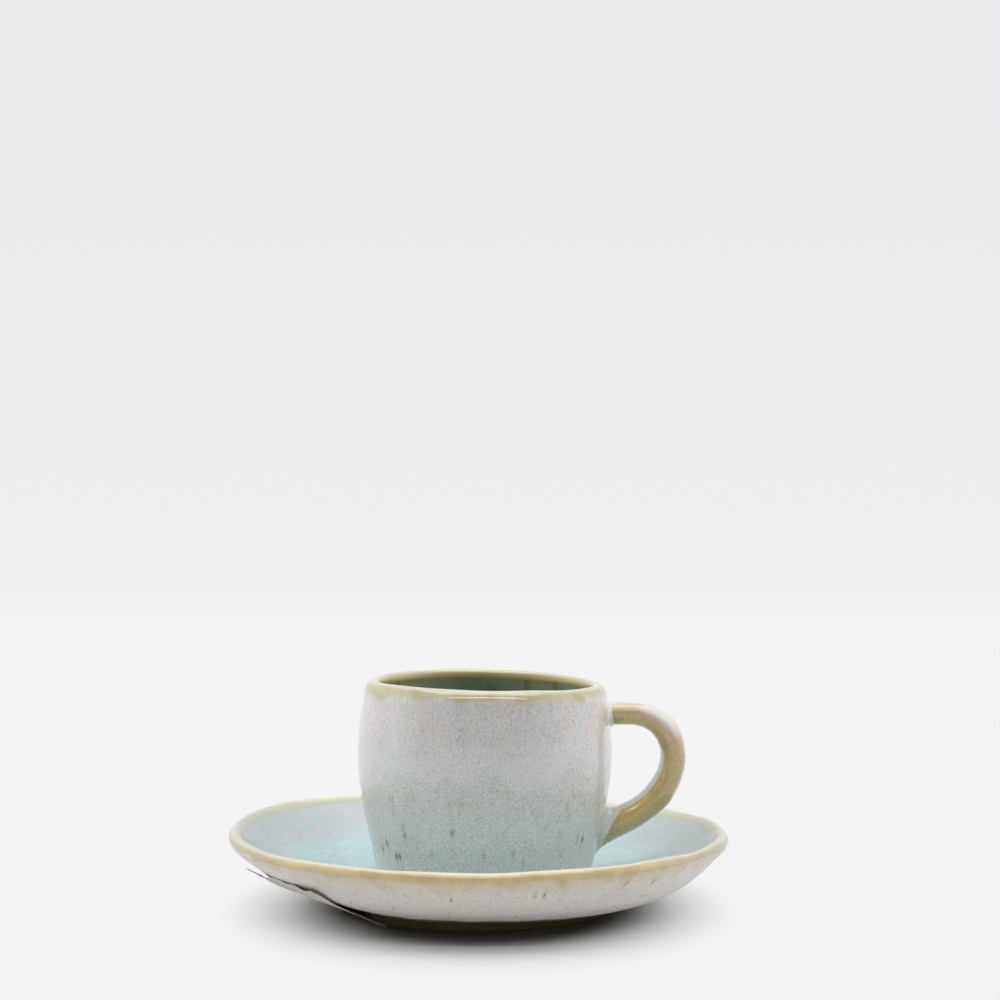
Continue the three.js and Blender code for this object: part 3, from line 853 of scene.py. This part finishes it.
def cup_marks(grid, rim):
    """What the cup's glaze reads: the rim's marks, and how thick the glaze lies at each height."""
    drawn_out = grid * [1, 1, 1 / CUP_ZONE_WANDER_TALL]
    height = grid[:, :, 2] + CUP_ZONE_WANDER * unevenness(drawn_out, CUP_ZONE_WANDER_SIZE, seed=31)
    return {
        **rim_marks(grid, rim),
        "low": smooth_step(height, *CUP_LOW),
        "high": smooth_step(height, *CUP_HIGH),
        "dip": smooth_step(height, *CUP_DIP),
        "stain": smooth_step(height, *CUP_STAIN_TOP) * smooth_step(height, *CUP_STAIN_FOOT),
        "drops": smooth_step(height, *CUP_DROPS),
        "joint": near_joint(grid),
        "ochre": np.zeros(rim.shape),
        "run": lip_runs(grid, rim),
    }


upper_marks, lower_marks = [
    cup_marks(joint, np.full(joint.shape[:2], JOINT_FROM_RIM)) for joint in (upper_joint, lower_joint)
]
lower_marks["ochre"] += smooth_step((lower_joint - lower_meets) @ -lower_way, *lower_zone[::-1])
handle_marks = {"milk": milk, "streak": flank}
for name, shape, cad_node, slot, material, marks in (
    ("cup_wall", cup_shape, "cup_body", "milky_glaze", glazed_cup, cup_marks(cup_grid, cup_rim)),
    ("handle_bow", handle_shape, "cup_handle", "ochre_glaze", glazed_handle, handle_marks),
    ("upper_slip_joint", solid(upper_joint), "handle_upper_collar", "milky_glaze", glazed_cup, upper_marks),
    ("lower_slip_joint", solid(lower_joint), "handle_lower_collar", "milky_glaze", glazed_cup, lower_marks),
):
    piece(name, shape, "cup", cad_node, material, marks)


# Foot rings


def foot_ring(cad_node):
    """A foot ring with rounded lower edges and a gritty skin, let into the body above it, and its marks."""
    points, _ = cad_net(cad_node)
    centre = points.mean(0) * [1, 1, 0]
    out = np.linalg.norm((points - centre)[:, :2], axis=1)
    inner_edge, outer_edge = out.min(), out.max()
    low, high = points[:, 2].min(), points[:, 2].max() + FOOT_ROOT
    outline = []
    for r, side in ((outer_edge - FOOT_CORNER, 1), (inner_edge + FOOT_CORNER, -1)):
        corner = [
            (r + side * FOOT_CORNER * math.cos(a), low + FOOT_CORNER - FOOT_CORNER * math.sin(a))
            for a in np.linspace(0, math.pi / 2, FOOT_CORNER_STEPS)
        ]
        outline += corner[::side]
    walls = np.linspace(high, low + FOOT_CORNER, FOOT_WALL_STEPS + 1)[:-1]
    section = [(outer_edge, z) for z in walls] + outline + [(inner_edge, z) for z in walls[::-1]]
    angle = np.linspace(0, 2 * math.pi, FOOT_SIDES, endpoint=False)
    grid = np.array([[(r * math.cos(a), r * math.sin(a), z) for a in angle] for r, z in section]) + centre
    grit = FOOT_GRIT_DEPTH * unevenness(grid, FOOT_GRIT_SIZE, seed=11)
    grit *= smooth_step(grid[:, :, 2], low, low + FOOT_CORNER)
    radial = (grid - centre) * [1, 1, 0]
    from_axis = np.linalg.norm(radial, axis=2, keepdims=True)
    away = np.sign(from_axis - (inner_edge + outer_edge) / 2)
    wander = FOOT_STAIN_WANDER * unevenness(grid, FOOT_STAIN_SIZE, seed=12)
    stain = smooth_step(grid[:, :, 2] + wander - low, *FOOT_STAIN_ZONE)
    return solid(grid + radial / from_axis * away * grit[:, :, None]), {"stain": stain}


for name, body in (("cup_foot", "cup"), ("saucer_foot", "saucer")):
    shape, marks = foot_ring(name + "_ring")
    piece(name, shape, body, name + "_ring", stoneware, marks)


# Saucer

dish_grid, dish_low, dish_high = turned("saucer_dish", DISH_SIDES, DISH_STEP)
dish_rim = from_rim(dish_grid)
out = np.linalg.norm(dish_grid[:, :, :2], axis=2)
dent = DISH_DENT_DEPTH * unevenness(dish_grid, DISH_DENT_SIZE, seed=21)
dent += LIP_DENT_DEPTH * hump(dish_rim, 0, LIP_DENT_REACH) * unevenness(dish_grid, LIP_DENT_SIZE, seed=22)
drift = unevenness(dish_grid, THROWING_RING_DRIFT, seed=23)
dent += THROWING_RING_DEPTH * np.sin(2 * math.pi * out / THROWING_RING_PITCH + drift)
clear_of_feet = smooth_step(out, *DISH_DENT_ZONE)
dish_grid = dish_grid + normals(dish_grid) * (dent * clear_of_feet)[:, :, None]
dish_grid[:, :, 2] += lip_wave(dish_grid, dish_rim, dish_low, DISH_LIP_WAVES)
angle = np.arctan2(dish_grid[:, :, 1], dish_grid[:, :, 0]) % (2 * math.pi)
at_warp = hump(angle, DISH_WARP_ANGLE, DISH_WARP_WIDTH)
dish_grid[:, :, 2] += DISH_WARP * at_warp * clear_of_feet * smooth_step(out, *DISH_WARP_ZONE)
dish_shape = solid(dish_grid, dish_low, dish_high)

# Glaze on the saucer. It pools in the middle and swirls round outside the very middle. On the left and
# right the ochre is greyer and the wall inside is glossier
plan = dish_grid[:, :, :2] / np.maximum(out, 1)[:, :, None]
drawn_out = np.dstack([plan * STREAK_RADIUS, out * STREAK_DRAWN_OUT])
streak = STREAK_DEPTH * unevenness(drawn_out, STREAK_SIZE, seed=24)
pool = smooth_step(dish_rim + POOL_WANDER * streak, *POOL)
under_edge = out + UNDER_WANDER * unevenness(dish_grid, UNDER_WANDER_SIZE, seed=25)
front = np.maximum(-np.sin(angle), 0)
side = smooth_step(np.abs(np.cos(angle)), *DISH_SIDE)
glossy_end = side * smooth_step(dish_rim, *GLOSSY_END) * (dish_rim < 0)
off_rim = smooth_step(np.abs(dish_rim), *GLOSSY_RIM)
dish_marks = {
    **rim_marks(dish_grid, dish_rim),
    "streak": streak,
    "ochre": dish_rim / (OCHRE_LEAST + (1 - OCHRE_LEAST) * front**2),
    "below_band": smooth_step(dish_rim, *BELOW_BAND),
    "pool": pool,
    "swirl": pool * smooth_step(out, *SWIRL_RADIUS),
    # Painted shade on the underside round the foot
    "painted_shade_under": smooth_step(under_edge, *UNDER_RADIUS) * (dish_rim > 0),
    "side": side,
    "satin": RIM_SATIN + WALL_SATIN * off_rim * (1 - GLOSSY_END_SHARE * glossy_end),
}
piece("saucer_bowl", dish_shape, "saucer", "saucer_dish", glazed_dish, dish_marks)


# Paper label

dish_skin = BVHTree.FromPolygons([Vector(p) for p in dish_shape[0]], dish_shape[1])


def label():
    """A rectangle of paper under the saucer, stuck down except where its outer edge has come loose in waves
    and where one inner corner hangs."""
    rows, columns = LABEL_STEPS
    upper = np.zeros((rows, columns, 3))
    for i, along in enumerate(np.linspace(0, 1, rows)):
        for j, inward in enumerate(np.linspace(0, 1, columns)):
            r = LABEL_OUTER_EDGE + (LABEL_INNER_EDGE - LABEL_OUTER_EDGE) * inward
            t = (along - 0.5) * LABEL_LENGTH
            x = r * math.cos(LABEL_ANGLE) - t * math.sin(LABEL_ANGLE)
            y = r * math.sin(LABEL_ANGLE) + t * math.cos(LABEL_ANGLE)
            skin, _, _, _ = dish_skin.ray_cast(Vector((x, y, BELOW_TABLE)), Vector((0, 0, 1)))
            stuck = skin.z - LABEL_GAP
            loose = sum(depth * smooth_step(t, start, end) for depth, start, end in LABEL_LOOSE)
            loose += LABEL_WAVE * hump(t, LABEL_WAVE_PLACE, LABEL_WAVE_WIDTH)
            hang = max(stuck - LABEL_CORNER_DROP, 0)
            hang *= along**LABEL_HANG_ALONG * inward**LABEL_HANG_ACROSS
            upper[i, j] = x, y, stuck - loose * (1 - inward) ** LABEL_CURL - hang
    lower = upper - [0, 0, LABEL_THICKNESS]
    count = rows * columns
    faces = []
    for i in range(rows - 1):
        for j in range(columns - 1):
            a, b = i * columns + j, (i + 1) * columns + j
            faces += [(a, b, b + 1, a + 1), tuple(x + count for x in (a, a + 1, b + 1, b))]
    rim = [(i, 0) for i in range(rows)] + [(rows - 1, j) for j in range(1, columns)]
    rim += [(i, columns - 1) for i in range(rows - 2, -1, -1)] + [(0, j) for j in range(columns - 2, 0, -1)]
    loop = [i * columns + j for i, j in rim]
    faces += [(a, a + count, b + count, b) for a, b in zip(loop, loop[1:] + loop[:1])]
    return np.vstack([upper.reshape(-1, 3), lower.reshape(-1, 3)]), faces


piece("paper_sticker", label(), "saucer", "paper_label", paper)


# Studio


def shown(tree, plain, mirrored, carried):
    """A surface or air that shows one shader to the camera, one in reflections, and lights with another."""
    rays = node(tree, "ShaderNodeLightPath").outputs
    either = {0: rays["Is Glossy Ray"], 1: rays["Is Transmission Ray"]}
    in_glaze = node(tree, "ShaderNodeMath", either, operation="MAXIMUM").outputs[0]
    light = node(tree, "ShaderNodeMixShader", {0: in_glaze, 1: carried, 2: mirrored}).outputs[0]
    return node(tree, "ShaderNodeMixShader", {0: rays["Is Camera Ray"], 1: light, 2: plain}).outputs[0]


# The air shows the paper's colour to the camera, and in reflections a room that is pale behind the object
# and dim in front of it
world = bpy.data.worlds.new("studio_air")
bpy.context.scene.world = world
world.use_nodes = True
tree = world.node_tree
tree.nodes.clear()
way = node(tree, "ShaderNodeTexCoord").outputs["Generated"]
backward = node(tree, "ShaderNodeSeparateXYZ", {0: way}).outputs[1]
room = layered(tree, "#4A4A4C", [("#EAEAEC", backward, -0.7, 0.1, 1)])
pale_air = node(tree, "ShaderNodeBackground", {"Color": linear("#F4F4F4")}).outputs[0]
dim_room = node(tree, "ShaderNodeBackground", {"Color": room}).outputs[0]
air = node(tree, "ShaderNodeBackground", {"Color": linear("#FFFFFF"), "Strength": AIR_LIGHT}).outputs[0]
node(tree, "ShaderNodeOutputWorld", {"Surface": shown(tree, pale_air, dim_room, air)})

for name, place, (size_x, size_y), power, mirrored in LAMPS:
    data = bpy.data.lights.new(name, "AREA")
    data.shape = "RECTANGLE"
    data.size = size_x
    data.size_y = size_y
    data.energy = power
    lamp = bpy.data.objects.new(name, data)
    lamp.location = place
    lamp.rotation_euler = Vector(place).to_track_quat("Z", "Y").to_euler()
    lamp.visible_glossy = mirrored
    bpy.context.scene.collection.objects.link(lamp)


def paper_sweep():
    """Paper that lies under the object and curves up behind it."""
    run = [(-SWEEP_SIDE, 0), (SWEEP_BEND_START, 0)]
    for a in np.linspace(0, math.pi / 2, SWEEP_BEND_STEPS)[1:]:
        run.append((SWEEP_BEND_START + SWEEP_BEND * math.sin(a), SWEEP_BEND - SWEEP_BEND * math.cos(a)))
    run.append((SWEEP_BEND_START + SWEEP_BEND, SWEEP_HEIGHT))
    points = [(x, y, z) for y, z in run for x in (-SWEEP_SIDE, SWEEP_SIDE)]
    faces = [(2 * i, 2 * i + 1, 2 * i + 3, 2 * i + 2) for i in range(len(run) - 1)]
    mesh = bpy.data.meshes.new("paper_sweep")
    mesh.from_pydata(points, [], faces)
    mesh.shade_smooth()
    made = bpy.data.objects.new("paper_sweep", mesh)
    bpy.context.scene.collection.objects.link(made)
    return made


# Near the object the paper is lit and keeps the object's shadow, a little darker to the camera than in the
# light that it throws back. From an oval round the object outwards it shows its plain pale colour, greyer
# up the backdrop, except at the far ends
material, tree, place, _ = new_material("studio_paper")
oval = node(tree, "ShaderNodeVectorMath", {0: place, 1: FLOOR_OVAL}, operation="MULTIPLY").outputs[0]
away = node(tree, "ShaderNodeVectorMath", {0: oval}, operation="LENGTH").outputs["Value"]
across_sweep, _, height = node(tree, "ShaderNodeSeparateXYZ", {0: place}).outputs
aside = node(tree, "ShaderNodeMath", {0: across_sweep}, operation="ABSOLUTE").outputs[0]
back = layered(
    tree,
    "#F4F4F4",
    [
        ("#EEEEEF", height, 0, 80, 1),
        ("#EAEAEC", height, 60, 500, 1),
        ("#F4F4F4", aside, 1500, 4000, 1),
    ],
)
lit = node(tree, "ShaderNodeBsdfDiffuse", {"Color": linear("#D6D6D6")}).outputs[0]
seen = node(tree, "ShaderNodeBsdfDiffuse", {"Color": linear("#C8C8C8")}).outputs[0]
glow = node(tree, "ShaderNodeEmission", {"Color": back}).outputs[0]
links = {"Value": away, "From Min": FLOOR_PALE_START, "From Max": FLOOR_PALE_END}
far = node(tree, "ShaderNodeMapRange", links, interpolation_type="SMOOTHSTEP").outputs[0]
bright = node(tree, "ShaderNodeMixShader", {0: far, 1: seen, 2: glow}).outputs[0]
node(tree, "ShaderNodeOutputMaterial", {"Surface": shown(tree, bright, bright, lit)})
paper_sweep().data.materials.append(material)

camera = bpy.data.objects.new("camera", bpy.data.cameras.new("camera"))
camera.data.sensor_width = CAMERA_SENSOR
camera.data.lens = CAMERA_LENS
camera.location = CAMERA_PLACE
camera.rotation_euler = (math.radians(90), 0, 0)
bpy.context.scene.collection.objects.link(camera)
bpy.context.scene.camera = camera
bpy.context.scene.view_settings.view_transform = "Standard"
